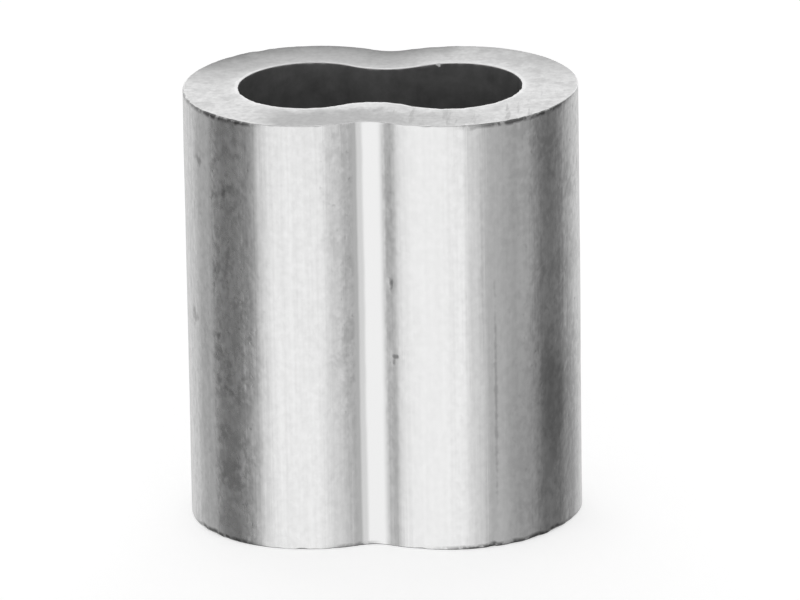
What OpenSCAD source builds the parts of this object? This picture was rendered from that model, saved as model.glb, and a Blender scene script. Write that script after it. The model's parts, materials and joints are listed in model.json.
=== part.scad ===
// Hourglass crimp sleeve for 6 mm wire rope, also called a figure-eight or double-barrel ferrule.
// It is one length of drawn aluminium section with two joined barrels: the rope goes through one
// barrel, round a loop and back through the other, and the sleeve is then pressed shut on both.
// The sleeve stands on one end face. The origin is the centre of that face, +Z runs along the
// barrels, and the two barrels lie side by side along X.

/* [Rope] */
// Diameter of the wire rope
rope_d = 6; // [5.5:0.1:6.5]
// Difference between a barrel's bore and the rope's diameter, before pressing
rope_room = 0.6; // [0.4:0.1:0.8]

/* [Section] */
// Length of the sleeve
sleeve_l = 21.2; // [16:0.1:30]
// Wall thickness around the barrels
wall = 2.7; // [2:0.05:3.2]
// Distance between the axes of the two barrels
barrel_spacing = 6.72; // [6.4:0.01:7.2]
// Radius of the hollow down the middle of each broad side, outside
hollow_r = 1.734; // [1:0.001:2.5]
// Radius of the ridge behind each hollow, inside
ridge_r = 3.06; // [2:0.01:4]

/* [Ends] */
// Width of the edge break on the outer and inner rims of both end faces
edge_break = 0.12; // [0.05:0.01:0.3]

/* [Hidden] */
$fn = 96;

bore_r = (rope_d + rope_room) / 2;
barrel_r = bore_r + wall;
// The default sizes make the centres' triangles exact ones, with sides 560:1161:1289 outside and
// 28:45:53 inside, so that the arcs meet with no rounding gap
barrel_x = barrel_spacing / 2;
// How far the void runs past the end faces, so that it cuts them cleanly
cut_past = 1;

// A slab of an hourglass section: two circles on the barrels' axes, whose radius goes from r1 at
// the bottom to r2 at the top, joined by a waist. Each side of the waist is an arc that is tangent
// to both circles, with its centre arc_span from the barrels' axes. The waist is a rhombus between
// the four centres, less those two arcs. The arcs shrink by as much as the circles grow, so they
// stay tangent at every height.
module hourglass(h, r1, r2, arc_span) {
    arc_y = sqrt(arc_span ^ 2 - barrel_x ^ 2);
    for (side = [-1, 1])
        translate([side * barrel_x, 0, 0]) cylinder(h = h, r1 = r1, r2 = r2);
    difference() {
        linear_extrude(h)
            polygon([[barrel_x, 0], [0, arc_y], [-barrel_x, 0], [0, -arc_y]]);
        for (side = [-1, 1])
            translate([0, side * arc_y, 0])
                cylinder(h = h, r1 = arc_span - r1, r2 = arc_span - r2);
    }
}

// Outside of the sleeve: straight sides, with a 45 degree edge break at each end
module outside() {
    span = barrel_r + hollow_r;
    hourglass(edge_break, barrel_r - edge_break, barrel_r, span);
    translate([0, 0, edge_break])
        hourglass(sleeve_l - 2 * edge_break, barrel_r, barrel_r, span);
    translate([0, 0, sleeve_l - edge_break])
        hourglass(edge_break, barrel_r, barrel_r - edge_break, span);
}

// Space for the two parts of the rope, which opens out at each end by the edge break
module rope_way() {
    span = bore_r + ridge_r;
    flare = edge_break + cut_past;
    translate([0, 0, -cut_past])
        hourglass(flare, bore_r + flare, bore_r, span);
    translate([0, 0, edge_break])
        hourglass(sleeve_l - 2 * edge_break, bore_r, bore_r, span);
    translate([0, 0, sleeve_l - edge_break])
        hourglass(flare, bore_r, bore_r + flare, span);
}

// The sleeve itself, a single piece of metal
module sleeve() {
    color("silver")
        difference() {
            outside();
            rope_way();
        }
}

sleeve();
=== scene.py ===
"""Hourglass crimp sleeve for wire rope: a worn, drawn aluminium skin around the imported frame."""

import json
import math
import random

import bpy
from mathutils import Matrix, Vector, noise


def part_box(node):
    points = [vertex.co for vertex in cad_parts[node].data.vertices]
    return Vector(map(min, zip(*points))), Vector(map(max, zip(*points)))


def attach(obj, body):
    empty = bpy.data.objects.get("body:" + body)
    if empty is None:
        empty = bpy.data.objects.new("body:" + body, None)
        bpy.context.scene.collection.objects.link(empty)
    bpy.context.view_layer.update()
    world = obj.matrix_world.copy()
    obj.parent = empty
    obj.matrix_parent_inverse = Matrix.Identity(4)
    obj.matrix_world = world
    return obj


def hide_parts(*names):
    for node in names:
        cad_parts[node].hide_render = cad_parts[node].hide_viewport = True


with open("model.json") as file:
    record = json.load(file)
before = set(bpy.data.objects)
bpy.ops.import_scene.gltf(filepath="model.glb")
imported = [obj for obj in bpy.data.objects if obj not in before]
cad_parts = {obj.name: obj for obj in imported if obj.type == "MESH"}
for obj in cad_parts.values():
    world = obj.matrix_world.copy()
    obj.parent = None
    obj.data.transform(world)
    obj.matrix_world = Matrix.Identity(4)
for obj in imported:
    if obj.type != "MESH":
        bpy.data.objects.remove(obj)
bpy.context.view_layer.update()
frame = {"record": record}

MM = 0.001
DEGREE = math.pi / 180

# ---------------------------------------------------------------- sizes, from the frame
LOW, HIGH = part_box("sleeve")
LENGTH = HIGH.z - LOW.z
BARREL_R = HIGH.y
BARREL_X = HIGH.x - HIGH.y
MOUNTS = {m["name"]: m for m in frame["record"]["mounts"]}
# The visible bore is this much wider than its mount says, all round
BORE_WEAR = 0.04 * MM
BORE_R = MOUNTS["left_barrel"]["dims"]["r_mm"] * MM + BORE_WEAR
# Radii that the frame doesn't give: of the hollow down each broad side, and of the ridge inside it
HOLLOW_R = 1.734 * MM
RIDGE_R = 3.06 * MM

# The two ends are cut a little out of square, both the same way, so the walls lean on their end
LEAN = 0.77 * DEGREE


# ---------------------------------------------------------------- outlines
def outline(barrel_r, hollow_r, per_barrel, per_hollow):
    """Points and outward normals of an hourglass outline, anticlockwise from the right barrel."""
    span = barrel_r + hollow_r
    hollow_y = math.sqrt(span**2 - BARREL_X**2)
    turn = math.atan2(hollow_y, -BARREL_X)
    points, normals = [], []

    def arc(centre, radius, start, end, count, facing):
        for i in range(count):
            a = start + (end - start) * i / count
            out = Vector((math.cos(a), math.sin(a)))
            points.append(Vector(centre) + out * radius)
            normals.append(out * facing)

    arc((BARREL_X, 0), barrel_r, -turn, turn, per_barrel, 1)
    arc((0, hollow_y), hollow_r, turn - math.pi, -turn, per_hollow, -1)
    arc((-BARREL_X, 0), barrel_r, math.pi - turn, math.pi + turn, per_barrel, 1)
    arc((0, -hollow_y), hollow_r, turn, math.pi - turn, per_hollow, -1)
    return points, normals


PER_BARREL, PER_HOLLOW = 190, 32
OUTER, OUTER_OUT = outline(BARREL_R, HOLLOW_R, PER_BARREL, PER_HOLLOW)
INNER, INNER_OUT = outline(BORE_R, RIDGE_R, PER_BARREL, PER_HOLLOW)
AROUND = len(OUTER)


def lengths(points):
    """Distance along a closed outline to each of its points, and the outline's whole length."""
    run = [0.0]
    for i, p in enumerate(points):
        run.append(run[-1] + (points[(i + 1) % len(points)] - p).length)
    return run[:-1], run[-1]


OUTER_RUN, OUTER_LENGTH = lengths(OUTER)

# ---------------------------------------------------------------- surface relief
# How far a seed of 1 moves the noise along X, Y and Z
SEED_SHIFT = (7.3, 3.1, 5.7)


def rough(x, y, z, seed):
    """Smooth noise from about -1 to 1."""
    return noise.noise(Vector((x, y, z)) + Vector([seed * shift for shift in SEED_SHIFT]))


def die_lines(count, seed, least, most, depth):
    """Shallow lines left along the skin by the drawing die: places around, widths and depths."""
    dice = random.Random(seed)
    return [
        (dice.random(), dice.uniform(least, most), dice.uniform(-1, 1) * depth)
        for _ in range(count)
    ]


LINES = die_lines(count=110, seed=4, least=0.14 * MM, most=0.5 * MM, depth=0.004 * MM)
# How sharp a line's edges are, and how many widths from its middle it ends
LINE_SHARP = 2
LINE_REACH = 2.5
# How much a line's height changes along it, as a share, how fast, per mm, and that noise's seed
LINE_VARIES, LINE_CHANGE, LINE_SEED = 0.5, 0.25, 1


def line_relief(run):
    """Height of the die lines at a distance around the outline."""
    height = 0.0
    for place, width, depth in LINES:
        gap = abs(run - place * OUTER_LENGTH)
        gap = min(gap, OUTER_LENGTH - gap)
        if gap < LINE_REACH * width:
            height += depth * math.exp(-((gap / width) ** 2) * LINE_SHARP)
    return height


LINE_HEIGHTS = [line_relief(run) for run in OUTER_RUN]

# Dents in the front of the skin: across X, up Z, half-width and half-height, depth, all in mm.
# The one with a depth below zero is a bump.
DENTS = [
    (0.92, 13.2, 0.14, 0.22, 0.012),
    (1.02, 9.6, 0.20, 0.14, 0.015),
    (-7.42, 10.1, 0.14, 0.18, 0.012),
    (-8.72, 10.7, 0.16, 0.30, 0.015),
    (-8.20, 15.8, 0.34, 0.12, -0.012),
    (-1.45, 9.2, 0.22, 0.20, 0.010),
    (8.60, 6.2, 0.20, 0.50, 0.012),
]

# Ridges that the die left along the whole front: across X, half-width and height, all in mm. The
# one with a height below zero is a groove.
RIDGES = [(4.6, 0.8, 0.005), (0.90, 0.20, -0.008), (-2.35, 0.35, 0.006), (6.9, 0.5, 0.008)]
# The right barrel's front stands a little further back than the left one's: where the step between
# them is, across X, its half-width and its height, all in mm
STEP = (1.25, 0.75, 0.125)
# Smaller steps, up to the right: where each is, its half-width, and half its height at the bottom
# end and at the top, all in mm
SMALL_STEPS = [
    (-5.7, 0.9, -0.030, 0.040),
    (-1.5, 0.6, 0.014, 0.002),
    (-0.62, 0.25, 0.006, 0.006),
    (0.55, 0.20, 0.006, 0.006),
]
# How far in front of the middle the steps have their full height, in mm. They fade out towards it.
STEPS_FULL = 2

# Unevenness of the skin, from fine to slow, of the bore and of the cut ends: height in mm, how fast
# it changes across and along, per mm, and its seed
UNEVEN_SKIN = [(0.003, 1.4, 1.0, 2), (0.016, 0.42, 0.24, 3), (0.020, 0.16, 0.10, 9)]
UNEVEN_BORE = (0.006, 1.7, 0.3, 5)
UNEVEN_FACE = (0.010, 0.35, 0, 6)


def uneven(p, h, kind):
    """Height of one kind of unevenness at a place, in mm."""
    high, across, along, seed = kind
    return high * rough(p.x * across, p.y * across, h * along, seed)


def ridge_relief(p, h):
    """Height of the die's ridges and of the steps at a place on the skin, in mm."""
    if p.y > 0:
        return 0.0
    middle, half, drop = STEP
    steps = -drop / 2 * (1 + math.tanh((p.x - middle) / half))
    for middle, half, low, high in SMALL_STEPS:
        rise = low + (high - low) * h * MM / LENGTH
        steps += rise * math.tanh((p.x - middle) / half)
    ridges = sum(high * math.exp(-(((p.x - x) / wide) ** 2)) for x, wide, high in RIDGES)
    return steps * min(1, -p.y / STEPS_FULL) + ridges


def dent_relief(p, h):
    """Depth of the dents at a place on the skin, in mm."""
    if p.y >= 0:
        return 0.0
    depth = 0.0
    for x, z, wide, high, deep in DENTS:
        gap = ((p.x - x) / wide) ** 2 + ((h - z) / high) ** 2
        depth += deep * math.exp(-gap)
    return depth


def skin_relief(i, z):
    """Height of the skin above its true surface: die lines, unevenness, ridges, steps and dents."""
    p = OUTER[i] / MM
    h = z / MM
    height = sum(uneven(p, h, kind) for kind in UNEVEN_SKIN)
    height += ridge_relief(p, h) - dent_relief(p, h)
    lines = LINE_HEIGHTS[i] * (1 + LINE_VARIES * rough(p.x, p.y, h * LINE_CHANGE, LINE_SEED))
    return height * MM + lines


def bore_relief(i, z):
    """How far the bore's wall stands into the metal."""
    return uneven(INNER[i] / MM, z / MM, UNEVEN_BORE) * MM


def face_relief(p):
    """Depth of the cut end below its highest level, at a point of the section."""
    return (UNEVEN_FACE[0] + uneven(p / MM, 0, UNEVEN_FACE)) * MM


# ---------------------------------------------------------------- worn edges
# Worn stretches of the rims, beside which a dark line of painted shade runs, and clean chips: angle
# round the section's middle and half-width, both in degrees, and extra wear in mm
WORN_TOP = [(-145, 11, 0.055), (-169, 14, 0.035), (-31, 20, 0.05), (90, 66, 0.045)]
WORN_LOW = [(-150, 14, 0.06), (-35, 26, 0.06), (-100, 10, 0.03), (60, 20, 0.06), (165, 14, 0.05)]
CHIPPED_TOP = [
    (-66, 1.5, 0.06),
    (-51, 2, 0.10),
    (-128, 1, 0.04),
    (-112, 1.5, 0.03),
    (140, 2, 0.10),
]
CHIPPED_LOW = [
    (-70, 2, 0.06),
    (-45, 1.5, 0.08),
    (-29, 2.5, 0.07),
    (-21, 2, 0.05),
    (-120, 2, 0.07),
    (-152, 2, 0.06),
    (-159, 1.5, 0.06),
    (100, 2, 0.08),
]
# The extra wear, in mm, beside which the painted shade is as dark as any
FULL_RIM_SHADE = 0.05
# Width of a rim's worn edge, in mm: what it starts from, and what slow and quick changes add
RIM_PLAIN, RIM_SLOW, RIM_QUICK = 0.035, 0.015, 0.05
# How fast the slow and the quick changes are, per mm, and how far apart their seeds are
SLOW_CHANGE, QUICK_CHANGE = 0.9, 2.6
QUICK_SEED = 20
# How much the quick changes add to the wear of a worn stretch, as a share
WORN_VARIES = 0.8
# Seeds of the two rims
SEED_LOW, SEED_TOP = 11, 12

# Width of the bore's worn edges, in mm: at the bottom, then at the top what it is at least, what
# the changes add, how fast they are, per mm, and their seed
BORE_EDGE_LOW = 0.08
BORE_EDGE_TOP, BORE_EDGE_VARIES, BORE_EDGE_CHANGE, BORE_EDGE_SEED = 0.05, 0.13, 2.4, 14
# The one burr, at the back of the bore's top edge: across X, half-width and height, all in mm
BURR = (2.52, 0.09, 0.08)
# Where the burr is higher than this, in mm, it has the cut end's colour instead of the bore's
# painted shade
BURR_BRIGHT = 0.02


def wear(i, worn):
    """Extra wear of a rim at one place around, in mm."""
    angle = math.atan2(OUTER[i].y, OUTER[i].x) / DEGREE
    extra = 0.0
    for middle, half, most in worn:
        gap = (angle - middle + 180) % 360 - 180
        extra += most * math.exp(-((gap / half) ** 4))
    return extra


def rim_shade(i, worn):
    """How much painted shade runs beside a rim at one place around, from 0 to 1."""
    return min(1, wear(i, worn) / FULL_RIM_SHADE)


def edge_break(i, worn, chipped, seed):
    """Width of a rim's worn edge, which varies along the rim."""
    p = OUTER[i] / MM
    slow = rough(p.x * SLOW_CHANGE, p.y * SLOW_CHANGE, 0, seed)
    quick = rough(p.x * QUICK_CHANGE, p.y * QUICK_CHANGE, 0, seed + QUICK_SEED)
    ragged = RIM_PLAIN + RIM_SLOW * slow + RIM_QUICK * abs(quick)
    ragged += wear(i, worn) * (1 + WORN_VARIES * quick)
    return (ragged + wear(i, chipped)) * MM


def burr_height(p):
    """Height of the burr at a place on the bore's edge, in mm."""
    x, wide, high = BURR
    return high * math.exp(-(((p.x - x) / wide) ** 2)) if p.y > 0 else 0.0


def bore_break(p):
    """Width of the bore's worn edge at the top, in mm."""
    ragged = abs(rough(p.x * BORE_EDGE_CHANGE, p.y * BORE_EDGE_CHANGE, 0, BORE_EDGE_SEED))
    return BORE_EDGE_TOP + BORE_EDGE_VARIES * ragged + burr_height(p)


# ---------------------------------------------------------------- the sleeve's mesh
EDGE_STEPS = 4
# How many steps of the bore's top edge take the bore's painted shade, from the wall up
SHADED_STEPS = 2
FACE_STEPS = 14
OUTER_ROWS = 124
INNER_ROWS = 30
# How far the second row of a wall is from its end, and how near a row has to be to take the rim's
# painted shade
SUPPORT = 0.03 * MM
SHADE_REACH = 1.5 * SUPPORT

# The materials' order on the piece
FINISHES = ["skin", "face", "bore"]


def quarter(step):
    """Across and along a rounded edge, from 0 to 1 each."""
    a = math.pi / 2 * step / EDGE_STEPS
    return 1 - math.cos(a), math.sin(a)


def wall_rows(low, high, count):
    """Heights from low to high, evenly spaced, with one more beside each end."""
    even = [low + (high - low) * k / count for k in range(1, count)]
    return [low, low + SUPPORT] + even + [high - SUPPORT, high]


class Profile:
    """The closed loop of vertices at one place around: up the outside, over, down the bore, under.

    Each vertex has its place, the finish of the face before it, the painted shade it takes beside a
    rim, and its place across the end: 0 at the outer rim and 1 at the bore."""

    def __init__(self, i):
        self.i = i
        self.loop = []
        self.outer, self.outwards = OUTER[i], OUTER_OUT[i]
        self.inner, self.wallwards = INNER[i], INNER_OUT[i]
        self.low = edge_break(i, WORN_LOW, CHIPPED_LOW, SEED_LOW)
        self.top = edge_break(i, WORN_TOP, CHIPPED_TOP, SEED_TOP)
        self.bore_low = BORE_EDGE_LOW * MM
        self.bore_top = bore_break(self.inner / MM) * MM
        # How much painted shade runs beside the low and the top rim at this place
        self.rim_shade_low = rim_shade(i, WORN_LOW)
        self.rim_shade_top = rim_shade(i, WORN_TOP)
        self.add_skin()
        self.add_top()
        self.add_bore()
        self.add_bottom()

    def add(self, p, z, finish, rim_shading=0.0, across=0.0):
        self.loop.append((Vector((p.x, p.y, z)), finish, rim_shading, across))

    def skin_at(self, z):
        """The skin's place in the section at a height."""
        return self.outer + self.outwards * skin_relief(self.i, z)

    def add_face(self, start, end, level, side):
        """Across a cut end, which faces up if the side is 1 and down if it is -1."""
        for k in range(1, FACE_STEPS):
            share = 0.5 - 0.5 * math.cos(math.pi * k / FACE_STEPS)
            p = start.lerp(end, share)
            sunk = face_relief(p) * math.sin(math.pi * k / FACE_STEPS)
            self.add(p, level - side * sunk, "face", 0, share if side > 0 else 1 - share)

    def add_skin(self):
        """Up the outer wall, with painted shade beside the worn stretches of the rims."""
        high = LENGTH - self.top
        for z in wall_rows(self.low, high, OUTER_ROWS):
            near_low, near_top = z - self.low < SHADE_REACH, high - z < SHADE_REACH
            rim_shading = near_low * self.rim_shade_low + near_top * self.rim_shade_top
            self.add(self.skin_at(z), z, "skin", rim_shading)

    def add_top(self):
        """Over the top rim, across the top end and over the bore's edge."""
        rim = self.skin_at(LENGTH - self.top)
        for k in range(1, EDGE_STEPS + 1):
            across, along = quarter(k)
            p = rim - self.outwards * self.top * across
            rim_shading = self.rim_shade_top * (k < EDGE_STEPS)
            self.add(p, LENGTH - self.top + self.top * along, "skin", rim_shading)
        mouth = self.inner + self.wallwards * self.bore_top
        self.add_face(rim - self.outwards * self.top, mouth, LENGTH, 1)
        burred = burr_height(self.inner / MM) > BURR_BRIGHT
        for k in range(EDGE_STEPS, -1, -1):
            across, along = quarter(k)
            p = self.inner + self.wallwards * self.bore_top * across
            finish = "face" if k >= SHADED_STEPS or burred else "bore"
            self.add(p, LENGTH - self.bore_top + self.bore_top * along, finish, 0, 1)

    def add_bore(self):
        """Down the bore's wall."""
        for z in reversed(wall_rows(self.bore_low, LENGTH - self.bore_top, INNER_ROWS)[1:-1]):
            self.add(self.inner + self.wallwards * bore_relief(self.i, z), z, "bore", 0, 1)

    def add_bottom(self):
        """Over the bore's low edge, across the bottom end and over the low rim."""
        for k in range(EDGE_STEPS + 1):
            across, along = quarter(k)
            p = self.inner + self.wallwards * self.bore_low * across
            self.add(p, self.bore_low - self.bore_low * along, "face" if k else "bore", 0, 1)
        mouth = self.inner + self.wallwards * self.bore_low
        rim = self.skin_at(self.low)
        self.add_face(mouth, rim - self.outwards * self.low, 0, -1)
        for k in range(EDGE_STEPS, 0, -1):
            across, along = quarter(k)
            p = rim - self.outwards * self.low * across
            rim_shading = self.rim_shade_low * (k < EDGE_STEPS)
            self.add(p, self.low - self.low * along, "skin", rim_shading)


def build_sleeve():
    """The sleeve's one piece, with its finishes, its painted rim shade and its places across the
    end.
    """
    loops = [Profile(i).loop for i in range(AROUND)]
    rows = len(loops[0])
    verts = [point[0] for loop in loops for point in loop]
    for v in verts:
        v.x += (v.z - LENGTH / 2) * math.tan(LEAN)
    faces, finishes = [], []
    for i in range(AROUND):
        j = (i + 1) % AROUND
        for k in range(rows):
            m = (k + 1) % rows
            faces.append((i * rows + k, j * rows + k, j * rows + m, i * rows + m))
            finishes.append(FINISHES.index(loops[i][m][1]))
    mesh = bpy.data.meshes.new("sleeve_metal")
    mesh.from_pydata([tuple(v) for v in verts], [], faces)
    mesh.polygons.foreach_set("material_index", finishes)
    mesh.polygons.foreach_set("use_smooth", [True] * len(faces))
    for name, place in (("rim_shade", 2), ("across", 3)):
        made = mesh.attributes.new(name, "FLOAT", "POINT")
        made.data.foreach_set("value", [point[place] for loop in loops for point in loop])
    mesh.update()
    piece = bpy.data.objects.new("sleeve_metal", mesh)
    bpy.context.scene.collection.objects.link(piece)
    return piece


# ---------------------------------------------------------------- node trees
def grey(level):
    """A grey as a colour."""
    return (level, level, level, 1)


class Tree:
    """Short names for making the nodes of one tree and the links between them."""

    # Where the colour mix has its amount and its two colours, and where its result is
    MIX_INPUTS = (0, 6, 7)
    MIX_RESULT = 2

    def __init__(self, owner):
        owner.use_nodes = True
        self.tree = owner.node_tree
        self.tree.nodes.clear()

    def node(self, kind, settings=None, **inputs):
        """A new node, with its settings and its inputs by name."""
        made = self.tree.nodes.new(kind)
        for name, value in (settings or {}).items():
            setattr(made, name, value)
        for name, value in inputs.items():
            self.put(made, name.replace("_", " "), value)
        return made

    def put(self, node, place, value):
        """Give an input, by its name or number, a value or the output of another node."""
        if isinstance(value, bpy.types.NodeSocket):
            self.tree.links.new(value, node.inputs[place])
        else:
            node.inputs[place].default_value = value

    def math(self, operation, a, b=0.0, c=0.0, clamp=False):
        made = self.node("ShaderNodeMath", {"operation": operation, "use_clamp": clamp})
        for place, value in enumerate((a, b, c)):
            self.put(made, place, value)
        return made.outputs[0]

    def plus(self, a, b):
        return self.math("ADD", a, b)

    def times(self, a, b):
        return self.math("MULTIPLY", a, b)

    def highest(self, a, b):
        return self.math("MAXIMUM", a, b)

    def line(self, value, slope, start):
        """A value times a slope, from a start."""
        return self.math("MULTIPLY_ADD", value, slope, start)

    def blend(self, first, share, second):
        """A share of one value and the rest of another."""
        return self.line(first, share, self.times(second, 1 - share))

    def centred(self, value, amount):
        """Noise about zero, times an amount, so that a change of the amount makes no step."""
        return self.times(self.math("SUBTRACT", value, 0.5), amount)

    def range(self, value, low, high, to_low=0.0, to_high=1.0):
        """A value between two limits taken smoothly to between two others."""
        made = self.node("ShaderNodeMapRange", {"interpolation_type": "SMOOTHSTEP"}, Value=value)
        self.put(made, "From Min", low)
        self.put(made, "From Max", high)
        self.put(made, "To Min", to_low)
        self.put(made, "To Max", to_high)
        return made.outputs["Result"]

    def mapped(self, vector, **settings):
        """Coordinates moved, turned or scaled."""
        return self.node("ShaderNodeMapping", Vector=vector, **settings).outputs["Vector"]

    def upright(self):
        """Object coordinates without the lean of the walls, so that lines follow the walls."""
        place = self.node("ShaderNodeTexCoord").outputs["Object"]
        moved = (LENGTH / 2 * math.tan(LEAN), 0, 0)
        return self.mapped(place, Location=moved, Rotation=(0, -LEAN, 0))

    def split(self, vector):
        """The three outputs of a vector, which can also be had by their names."""
        return self.node("ShaderNodeSeparateXYZ", Vector=vector).outputs

    def attribute(self, name):
        """A value that the mesh holds."""
        return self.node("ShaderNodeAttribute", {"attribute_name": name}).outputs["Fac"]

    def noise(self, vector, scale, detail, roughness, stretch=None):
        """Noise with a scale per metre. Where the stretch is below 1, its grains are longer."""
        if stretch:
            vector = self.mapped(vector, Scale=stretch)
        made = self.node("ShaderNodeTexNoise", Vector=vector, Scale=scale, Detail=detail)
        self.put(made, "Roughness", roughness)
        return made.outputs["Fac"]

    def noises(self, vector, kinds):
        """All the noises of a material, by name."""
        return {name: self.noise(vector, *kind) for name, kind in kinds.items()}

    def bumps(self, *layers):
        """A normal from layers of relief. Each has a height, as a share, and its full height."""
        normal = None
        for height, full in layers:
            made = self.node("ShaderNodeBump", Strength=1.0, Distance=full, Height=height)
            if normal is not None:
                self.put(made, "Normal", normal)
            normal = made.outputs["Normal"]
        return normal

    def ramp(self, value, first, last):
        """A grey from a value, between two stops that are each a value and a level."""
        made = self.node("ShaderNodeValToRGB", Fac=value)
        for element, (place, level) in zip(made.color_ramp.elements, (first, last)):
            element.position = place
            element.color = grey(level)
        return made.outputs["Color"]

    def over(self, under, amount, upper):
        """One colour with an amount of another laid over it. Either can be the level of a grey."""
        made = self.node("ShaderNodeMix", {"data_type": "RGBA"})
        colours = [grey(c) if isinstance(c, float) else c for c in (under, upper)]
        for place, value in zip(self.MIX_INPUTS, [amount] + colours):
            self.put(made, place, value)
        return made.outputs[self.MIX_RESULT]

    def metal(self, colour, roughness, normal, metallic=1.0):
        """The one shader of a material of the sleeve."""
        shader = self.node("ShaderNodeBsdfPrincipled", Metallic=metallic, Roughness=roughness)
        self.put(shader, "Base Color", colour)
        self.put(shader, "Normal", normal)
        self.node("ShaderNodeOutputMaterial", Surface=shader.outputs["BSDF"])


# ---------------------------------------------------------------- the drawn skin
# The skin's noises: scale per metre, detail, roughness and stretch
SKIN_NOISES = {
    "lines": (7000, 4.0, 0.6, (1, 1, 0.01)),
    "streaks": (2600, 4.0, 0.6, (1, 1, 0.02)),
    "grain": (7000, 2.0, 0.5),
    "fine": (3400, 2.0, 0.5, (1, 1, 0.8)),
    "mottle": (2700, 1.5, 0.45, (1, 1, 0.8)),
    "clouds": (700, 3.0, 0.6),
    "broad": (420, 2.0, 0.5),
    "pits": (3000, 2.0, 0.5),
    "wander": (600, 3.0, 0.6),
}

# Each change of the finish has a place where it starts and a place where it ends. It goes from 0 to
# 1, or else the amounts at the two places follow. First the changes across X:
PITTED_LEFT = (-4.8 * MM, -6.8 * MM)
PITTED_FAR_LEFT = (-7.75 * MM, -7.45 * MM, 0.35, 1)
PITTED_RIGHT = (5.6 * MM, 8.2 * MM, 0, 0.55)
FLANKS_TO_RIGHT = (0, 1.6 * MM, 1, 0.25)
# Where the painted sheen on the front of the right barrel comes in and goes out, across X
SHEEN_START = (1.0 * MM, 1.4 * MM)
SHEEN_END = (4.2 * MM, 3 * MM)
# To both sides of the polished stripe's middle, which is a little to the left in the hollow:
STRIPE_X = -0.12 * MM
STRIPE_EDGE = (0.50 * MM, 0.85 * MM)
FLANKS_START = (0.65 * MM, 0.8 * MM)
FLANKS_END = (2.2 * MM, 1.2 * MM, 0, 0.5)
# Up Z, and to the front along Y:
FLANKS_UP = (1 * MM, 9 * MM, 0.2, 1)
MARKS_TO_FRONT = (0, -1 * MM)
# How far to each side noise moves the edges of the pitted parts
WANDER = 1.2 * MM

# The same for changes with the level of a noise
BLOTCHES = (0.575, 0.405)
BLOTCHES_BROAD = (0.36, 0.64, 0.27, 0.77)
PITS = (0.64, 0.80)
RIM_SHADE_PATCHY = (0.36, 0.56, 0.25, 1.0)
ROUGH_PATCHY = (0.38, 0.62, 0.15, 0.21)
# How much of each mixture is its first noise
STREAKS_SHARE, BLOTCHES_SHARE, PATCHY_SHARE = 0.6, 0.55, 0.3

# The darkest and the brightest of the drawn metal: a level of its noise, and one of grey
DRAWN_DARK, DRAWN_BRIGHT = (0.36, 0.85), (0.62, 0.97)
# Levels of grey of the painted sheen on the right barrel's front, with how much of it shows, the
# stripe, the stains and pits, the marks and the painted shade along the rims
SHEEN_GREY = 1.0
SHEEN_SHARE = 0.6
POLISHED = 0.98
STAINED = 0.50
MARKED = 0.25
RIM_SHADED = 0.22

# Roughness in the stripe, and what pitted parts add outside it
STRIPE_ROUGH = 0.14
PITTED_ROUGH = 0.11
# How deep the grain and the mottle are, as a share, and what lined and pitted parts add
GRAIN, LINED_GRAIN, PITTED_GRAIN = 0.05, 0.12, 0.83
SKIN_DEPTHS = {
    "lines": 0.0035 * MM,
    "grain": 0.002 * MM,
    "mottle": 0.020 * MM,
    "pits": 0.008 * MM,
}

# Small dark marks on the front of the skin: across X, up Z, half-width and half-height in mm, and
# how dark. The longest are scratches along the die's way.
MARKS = [
    (0.91, 13.25, 0.075, 0.18, 0.65),
    (1.06, 9.62, 0.14, 0.09, 0.70),
    (0.97, 9.30, 0.07, 0.12, 0.35),
    (-7.40, 10.1, 0.10, 0.16, 0.60),
    (-5.80, 10.35, 0.12, 0.16, 0.35),
    (-8.68, 10.55, 0.13, 0.34, 0.50),
    (-8.25, 18.5, 0.13, 0.24, 0.50),
    (-1.25, 11.0, 0.12, 0.24, 0.12),
    (-1.45, 9.2, 0.20, 0.22, 0.16),
    (-7.00, 17.3, 0.16, 0.14, 0.55),
    (-7.45, 17.2, 0.12, 0.20, 0.45),
    (5.80, 7.6, 0.065, 3.6, 0.35),
    (5.25, 16.0, 0.060, 3.2, 0.12),
]
# Dark patches painted low on the right-hand side, in the same form
DARK_PATCHES = [
    (8.45, 6.6, 0.75, 3.0, 0.50),
    (8.95, 3.5, 0.60, 5.5, 0.40),
    (7.30, 3.5, 0.80, 7.0, 0.22),
]
# Where a mark ends and where it is full, and how far noise moves its edge, in half-widths
MARK_EDGE = (1.7, 0.2)
MARK_RAGGED = 1.2


def mark(t, place, size, ragged):
    """How dark one mark is, with an outline broken up by noise."""
    x, z, wide, high, dark = size
    moved = (-x / wide, 0, -z / high)
    local = t.mapped(place, Location=moved, Scale=(1 / (wide * MM), 0, 1 / (high * MM)))
    away = t.node("ShaderNodeVectorMath", {"operation": "LENGTH"}, Vector=local).outputs["Value"]
    return t.range(t.plus(away, ragged), *MARK_EDGE, 0, dark)


def marks_on_front(t, place, sizes, ragged=0.0):
    """How dark all the marks of one kind are. They are only on the front."""
    dark = 0.0
    for size in sizes:
        dark = t.highest(dark, mark(t, place, size, ragged))
    return t.times(dark, t.range(t.split(place)["Y"], *MARKS_TO_FRONT))


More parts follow.
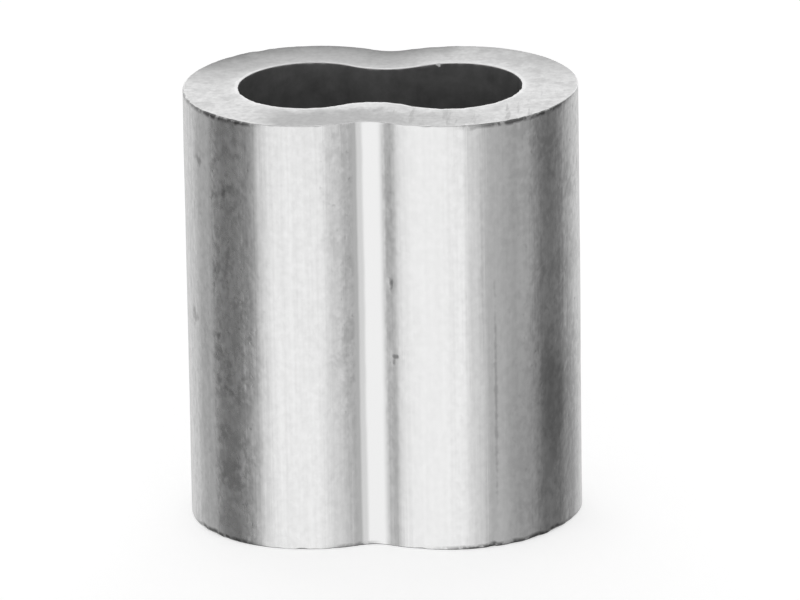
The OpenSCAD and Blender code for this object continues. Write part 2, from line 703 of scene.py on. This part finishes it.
def skin_masks(t, place, noises):
    """Where the skin is lined by the die, pitted, in a single pit, and brightened by a painted
    sheen, from 0 to 1 each.
    """
    across, _, up = t.split(place)
    wander = t.centred(noises["wander"], 2 * WANDER)
    wandering = t.plus(across, wander)
    beside = t.math("ABSOLUTE", t.plus(across, -STRIPE_X))
    left = t.times(t.range(wandering, *PITTED_LEFT), t.range(across, *PITTED_FAR_LEFT))
    right = t.range(wandering, *PITTED_RIGHT)
    flanks = t.range(t.plus(beside, wander), *FLANKS_END)
    flanks = t.times(t.range(beside, *FLANKS_START), flanks)
    flanks = t.times(flanks, t.range(across, *FLANKS_TO_RIGHT))
    flanks = t.times(flanks, t.range(up, *FLANKS_UP))
    pitted = t.highest(t.highest(left, right), flanks)
    return {
        "lined": t.range(beside, *STRIPE_EDGE),
        "pitted": pitted,
        "pits": t.times(t.range(noises["pits"], *PITS), pitted),
        "right_sheen": t.times(t.range(across, *SHEEN_START), t.range(across, *SHEEN_END)),
    }


def skin_shade(t, place, noises, masks):
    """The skin's colour, from the drawn metal up to the painted shade along the rims."""
    fine = noises["fine"]
    drawn = t.ramp(t.blend(noises["streaks"], STREAKS_SHARE, fine), DRAWN_DARK, DRAWN_BRIGHT)
    # Painted highlight: the front of the right barrel is brightened where its reflection is
    drawn = t.over(drawn, t.times(masks["right_sheen"], SHEEN_SHARE), SHEEN_GREY)
    shade = t.over(POLISHED, masks["lined"], drawn)
    blotches = t.range(t.blend(noises["clouds"], BLOTCHES_SHARE, fine), *BLOTCHES)
    stain = t.times(blotches, masks["pitted"])
    shade = t.over(shade, t.times(stain, t.range(noises["broad"], *BLOTCHES_BROAD)), STAINED)
    shade = t.over(shade, masks["pits"], STAINED)
    shade = t.over(shade, masks["marked"], MARKED)
    # Dark patches painted low on the right-hand side
    shade = t.over(shade, marks_on_front(t, place, DARK_PATCHES), MARKED)
    # Painted shade: a dark, patchy line along the worn stretches of the rims
    return t.over(shade, t.times(t.attribute("rim_shade"), t.range(fine, *RIM_SHADE_PATCHY)), RIM_SHADED)


def skin_roughness(t, noises, masks):
    """Smooth in the stripe, patchy outside it, and rougher where it is pitted."""
    patchy = t.range(t.blend(noises["clouds"], PATCHY_SHARE, noises["mottle"]), *ROUGH_PATCHY)
    outside = t.line(masks["pitted"], PITTED_ROUGH, patchy)
    return t.line(t.math("SUBTRACT", outside, STRIPE_ROUGH), masks["lined"], STRIPE_ROUGH)


def skin_normal(t, noises, masks):
    """The skin's fine relief: lines, grain, mottle, pits and marks."""
    deep = t.line(masks["lined"], LINED_GRAIN, t.line(masks["pitted"], PITTED_GRAIN, GRAIN))
    return t.bumps(
        (t.centred(noises["lines"], masks["lined"]), SKIN_DEPTHS["lines"]),
        (t.centred(noises["grain"], deep), SKIN_DEPTHS["grain"]),
        (t.centred(noises["mottle"], deep), SKIN_DEPTHS["mottle"]),
        (t.times(t.highest(masks["pits"], masks["marked"]), -1), SKIN_DEPTHS["pits"]),
    )


def skin_material():
    """Drawn aluminium: lines along the length, pitted sides, and a smooth bright hollow."""
    mat = bpy.data.materials.new("drawn_skin")
    t = Tree(mat)
    place = t.upright()
    noises = t.noises(place, SKIN_NOISES)
    masks = skin_masks(t, place, noises)
    ragged = t.centred(noises["fine"], 2 * MARK_RAGGED)
    masks["marked"] = marks_on_front(t, place, MARKS, ragged)
    shade = skin_shade(t, place, noises, masks)
    t.metal(shade, skin_roughness(t, noises, masks), skin_normal(t, noises, masks))
    return mat


# ---------------------------------------------------------------- the cut ends
FACE_NOISES = {
    "marks": (4200, 3.0, 0.6, (0.25, 1, 1)),
    "speckle": (4200, 3.0, 0.6),
    "clouds": (900, 3.0, 0.6),
}
# The saw's scratches: which way they run across the end, how they are stretched along that way, and
# their noise
SAW_SLANT = 35 * DEGREE
SAW_STRETCH = (1, 0.12, 1)
SAW_NOISE = (3600, 3.0, 0.6)

# Changes of the finish, in the same form as the skin's: across X, back along Y, and from the outer
# rim, at 0, to the bore, at 1
SAWN_TO_RIGHT = (0, 2 * MM)
SAWN_TO_FRONT = (0, -2 * MM)
# Painted shade in a strip along the front of the end
FRONT_SHADE_TO_FRONT = (-2.6 * MM, -4.4 * MM)
FRONT_SHADE_FROM_LEFT = (-5.8 * MM, -4 * MM)
FRONT_SHADE_FROM_RIGHT = (7.5 * MM, -1 * MM)
# Painted shade, darker towards the back of the end
BACK_SHADE_TO_BACK = (-1 * MM, 3 * MM, 0, 0.80)
BACK_SHADE_TO_LEFT = (3 * MM, 0, 0.35, 1)
# Painted shade along the outer rim at the back
OUTER_SHADE_TO_BACK = (1.5 * MM, 4 * MM)
OUTER_SHADE_TO_RIGHT = (1.5 * MM, 4 * MM, 1, 0.35)
# Painted highlight round the bore, from where across the end it comes in, and how much
RIM_HIGHLIGHT = (0.70, 0.95, 0, 0.25)
EDGE_HIGHLIGHT = (0.93, 0.98, 0, 0.6)
# How far to each side noise moves the edges of the sawn part and of the strip of painted shade at
# the front
FACE_WANDER = 1.5 * MM

# The same for changes with the level of a noise
SCRATCHES = (0.55, 0.68)
CLOUDS = (0.52, 0.36, 0, 0.45)
FACE_ROUGH = (0.3, 0.7, 0.46, 0.34)
# How much of the end's tone is the marks, and its darkest and brightest: a tone and a level of grey
MARKS_SHARE = 0.3
TONE_DARK, TONE_BRIGHT = (0.30, 0.66), (0.70, 0.84)
# Levels of grey of what lies over the tone, painted shade and painted highlight among them, and how
# much of the scratches and the front strip of painted shade shows
FACE_GREYS = {
    "clouds": 0.55,
    "scratches": 0.45,
    # The next three are greys of painted shade
    "back_shade": 0.43,
    "front_shade": 0.42,
    "outer_back_shade": 0.25,
    # The next two are greys of painted highlight round the bore
    "rim": 0.95,
    "edge": 0.97,
}
SCRATCHES_SHARE, FRONT_SHADE_SHARE = 0.6, 0.8

# The painted shade along the outer rim at the back: how much noise adds to a place across the end,
# from what, and how steeply the shade then falls off towards the bore
OUTER_SHADE_MOVED, OUTER_SHADE_FROM, OUTER_SHADE_FALL = 0.4, -0.2, 1.8
# How much less of the painted highlight round the bore there is at the back
RIM_HIGHLIGHT_LOST = 0.6
FACE_DEPTHS = {"marks": 0.0025 * MM, "speckle": 0.004 * MM, "scratches": 0.004 * MM}


def face_masks(t, place, clouds):
    """How much each part of the end has its own finish or painted shade, from 0 to 1 each."""
    x, y, _ = t.split(place)
    wander = t.centred(clouds, 2 * FACE_WANDER)
    right, back = t.plus(x, wander), t.plus(y, wander)
    slanted = t.mapped(place, Rotation=(0, 0, SAW_SLANT), Scale=SAW_STRETCH)
    sawn = t.times(t.range(right, *SAWN_TO_RIGHT), t.range(back, *SAWN_TO_FRONT))
    strip = t.times(t.range(right, *FRONT_SHADE_FROM_LEFT), t.range(right, *FRONT_SHADE_FROM_RIGHT))
    return {
        "scratches": t.times(t.range(t.noise(slanted, *SAW_NOISE), *SCRATCHES), sawn),
        "front_shade": t.times(t.range(back, *FRONT_SHADE_TO_FRONT), strip),
        "back_shade": t.times(t.range(y, *BACK_SHADE_TO_BACK), t.range(x, *BACK_SHADE_TO_LEFT)),
        "outer_back_shade": t.times(t.range(y, *OUTER_SHADE_TO_BACK), t.range(x, *OUTER_SHADE_TO_RIGHT)),
    }


def face_shade(t, tone, clouds, masks):
    """The end's colour, from the sawn metal through painted shade up to the painted highlight round
    the bore.
    """
    across = t.attribute("across")
    shade = t.ramp(tone, TONE_DARK, TONE_BRIGHT)
    scratches = t.times(masks["scratches"], SCRATCHES_SHARE)
    front_shade = t.times(masks["front_shade"], FRONT_SHADE_SHARE)
    shade = t.over(shade, t.range(clouds, *CLOUDS), FACE_GREYS["clouds"])
    shade = t.over(shade, scratches, FACE_GREYS["scratches"])
    # Painted shade towards the back and in a strip at the front
    shade = t.over(shade, masks["back_shade"], FACE_GREYS["back_shade"])
    shade = t.over(shade, front_shade, FACE_GREYS["front_shade"])
    # Painted shade, darkest along the outer rim at the back
    inwards = t.math("MULTIPLY_ADD", clouds, OUTER_SHADE_MOVED, t.plus(across, OUTER_SHADE_FROM), clamp=True)
    outer = t.math("POWER", t.math("SUBTRACT", 1, inwards), OUTER_SHADE_FALL)
    shade = t.over(shade, t.times(outer, masks["outer_back_shade"]), FACE_GREYS["outer_back_shade"])
    # Painted highlight: the rim and the edge round the bore are made brighter
    highlight_kept = t.line(masks["outer_back_shade"], -RIM_HIGHLIGHT_LOST, 1)
    rim = t.times(t.range(across, *RIM_HIGHLIGHT), highlight_kept)
    edge = t.times(t.range(across, *EDGE_HIGHLIGHT), highlight_kept)
    return t.over(t.over(shade, rim, FACE_GREYS["rim"]), edge, FACE_GREYS["edge"])


def face_material():
    """The cut end: satin, speckled, with a strip of painted shade at the front and a painted
    highlight round the bore.
    """
    mat = bpy.data.materials.new("cut_end")
    t = Tree(mat)
    place = t.upright()
    marks, speckle, clouds = t.noises(place, FACE_NOISES).values()
    masks = face_masks(t, place, clouds)
    tone = t.blend(marks, MARKS_SHARE, speckle)
    normal = t.bumps(
        (marks, FACE_DEPTHS["marks"]),
        (speckle, FACE_DEPTHS["speckle"]),
        (masks["scratches"], FACE_DEPTHS["scratches"]),
    )
    t.metal(face_shade(t, tone, clouds, masks), t.range(tone, *FACE_ROUGH), normal)
    return mat


# ---------------------------------------------------------------- the bore and the floor
BORE_NOISES = {"lines": (1500, 3.0, 0.6, (1, 1, 0.05)), "mottle": (1300, 4.0, 0.6)}
LINES_SHARE = 0.25
# Painted shade: the bore's greys are kept dark so that the hole reads as shaded inside
BORE_SHADE_DARK, BORE_SHADE_BRIGHT = (0.30, 0.13), (0.70, 0.22)
BORE_DEPTH = 0.004 * MM
BORE_ROUGH = 0.6
BORE_METALLIC = 0.3

FLOOR_PAINT = 0.9
FLOOR_GLOW = 0.495


def bore_material():
    """The bore, painted dark as painted shade for the inside of the hole, with faint lines along
    it.
    """
    mat = bpy.data.materials.new("shaded_bore")
    t = Tree(mat)
    lines, mottle = t.noises(t.upright(), BORE_NOISES).values()
    shade = t.ramp(t.blend(lines, LINES_SHARE, mottle), BORE_SHADE_DARK, BORE_SHADE_BRIGHT)
    t.metal(shade, BORE_ROUGH, t.bumps((lines, BORE_DEPTH)), BORE_METALLIC)
    return mat


def floor_material():
    """Pale paint that glows a little, so that the floor is nearly as white as the background."""
    mat = bpy.data.materials.new("pale_floor")
    t = Tree(mat)
    paint = t.node("ShaderNodeBsdfDiffuse", Color=grey(FLOOR_PAINT))
    glow = t.node("ShaderNodeEmission", Color=grey(1), Strength=FLOOR_GLOW)
    both = t.node("ShaderNodeAddShader")
    t.put(both, 0, paint.outputs[0])
    t.put(both, 1, glow.outputs[0])
    t.node("ShaderNodeOutputMaterial", Surface=both.outputs[0])
    return mat


# ---------------------------------------------------------------- studio
# Panels of the light tent: azimuth of the left side and its softness, the same for the right side,
# lowest and highest elevation, and brightness. Azimuth 0 is in front of the broad side, along -Y,
# and 90 is along +X. All angles are in degrees. Where there is no panel the tent is nearly dark.
PANELS = {
    "front key": (-46.5, 42, 34.5, 9, -55, 62, 0.56),
    "front window": (-44, 30, 18.5, 7, -55, 14, 0.24),
    "right glow": (34, 8, 52, 16, -55, 50, 0.09),
    "right fill": (36, 12, 87, 19, -55, 14, 0.27),
    "right gap": (76, 14, 140, 20, -55, 14, 0.05),
    "back sweep": (133, 38, 235, 24, -55, 14, 0.21),
    "back glow": (148, 20, 224, 20, 6, 60, 0.87),
    "left fill": (133, 38, 265, 5, -55, 14, 0.30),
    "left gap": (-94, 4, -44, 20, -55, 14, 0.08),
    "back limb": (152, 14, 220, 14, -55, 14, 0.08),
    "right loft": (30, 16, 148, 20, 20, 62, 0.45),
    "left loft": (224, 20, 314, 16, 20, 62, 0.45),
}
# Softness of the panels' low and high ends
END_SOFT = 20
TENT_GREY = 0.10
# The ceiling: its brightness, and the elevations where it starts and is full
CEILING = 0.9
CEILING_FROM, CEILING_FULL = 60, 88
# The background's brightness, which only the camera sees
BACKDROP = 0.985


def inside_panel(t, azimuth, height, left, left_soft, right, right_soft, low, high):
    """How far inside one panel a direction is, from 0 to 1."""
    middle, half = (left + right) / 2, (right - left) / 2
    turned = t.math("WRAP", t.math("SUBTRACT", azimuth, middle), 180, -180)
    inside = t.range(turned, -half - left_soft / 2, -half + left_soft / 2)
    for edge, soft, value in ((half, right_soft, turned), (high, END_SOFT, height)):
        inside = t.times(inside, t.range(value, edge - soft / 2, edge + soft / 2, 1, 0))
    return t.times(inside, t.range(height, low - END_SOFT / 2, low + END_SOFT / 2))


def build_world():
    """A light tent drawn by direction, seen by the metal and the floor. The camera sees white."""
    world = bpy.data.worlds.new("light_tent")
    bpy.context.scene.world = world
    t = Tree(world)
    x, y, z = t.split(t.node("ShaderNodeTexCoord").outputs["Generated"])
    azimuth = t.times(t.math("ARCTAN2", x, t.times(y, -1)), 1 / DEGREE)
    height = t.times(t.math("ARCSINE", z), 1 / DEGREE)
    light = t.range(height, CEILING_FROM, CEILING_FULL, TENT_GREY, CEILING)
    for *sides, glow in PANELS.values():
        light = t.line(inside_panel(t, azimuth, height, *sides), glow, light)
    tent = t.node("ShaderNodeBackground", Color=light)
    white = t.node("ShaderNodeBackground", Color=grey(1), Strength=BACKDROP)
    seen = t.node("ShaderNodeLightPath").outputs["Is Camera Ray"]
    both = t.node("ShaderNodeMixShader")
    for place, source in enumerate((seen, tent.outputs[0], white.outputs[0])):
        t.put(both, place, source)
    t.node("ShaderNodeOutputWorld", Surface=both.outputs[0])


FLOOR_HALF = 1.5


def build_floor():
    """A floor that the metal doesn't reflect."""
    bpy.ops.mesh.primitive_plane_add(size=2 * FLOOR_HALF, location=(0, 0, LOW.z))
    floor = bpy.context.object
    floor.name = "floor"
    floor.data.materials.append(floor_material())
    floor.visible_glossy = False


# Camera: where it stands round the sleeve, how it is tilted on its axis, and what it aims at
CAMERA_AZIMUTH = 6.0 * DEGREE
CAMERA_ELEVATION = 19.8 * DEGREE
CAMERA_ROLL = 1.75 * DEGREE
CAMERA_AWAY = 460 * MM
CAMERA_LENS = 435.6
CAMERA_NEAR, CAMERA_FAR = 0.01, 10
AIM_RIGHT = 0.785 * MM
AIM_UP = -0.15 * MM


def build_camera():
    """The photo's camera, aimed beside the sleeve's middle."""
    data = bpy.data.cameras.new("camera")
    data.lens = CAMERA_LENS
    data.clip_start = CAMERA_NEAR
    data.clip_end = CAMERA_FAR
    camera = bpy.data.objects.new("camera", data)
    bpy.context.scene.collection.objects.link(camera)
    a, e, r = CAMERA_AZIMUTH, CAMERA_ELEVATION, CAMERA_ROLL
    back = Vector((math.sin(a) * math.cos(e), -math.cos(a) * math.cos(e), math.sin(e)))
    right = Vector((math.cos(a), math.sin(a), 0))
    up = back.cross(right)
    side = right * math.cos(r) - up * math.sin(r)
    top = right * math.sin(r) + up * math.cos(r)
    centre = Vector((0, 0, LENGTH / 2))
    aim = centre + side * AIM_RIGHT + top * AIM_UP
    turn = Matrix((side, top, back)).transposed().to_4x4()
    camera.matrix_world = Matrix.Translation(aim + back * CAMERA_AWAY) @ turn
    bpy.context.scene.camera = camera


build_camera()
build_world()
build_floor()
bpy.context.scene.view_settings.view_transform = "Standard"

sleeve = build_sleeve()
for material in (skin_material(), face_material(), bore_material()):
    sleeve.data.materials.append(material)
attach(sleeve, "root")
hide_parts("sleeve")
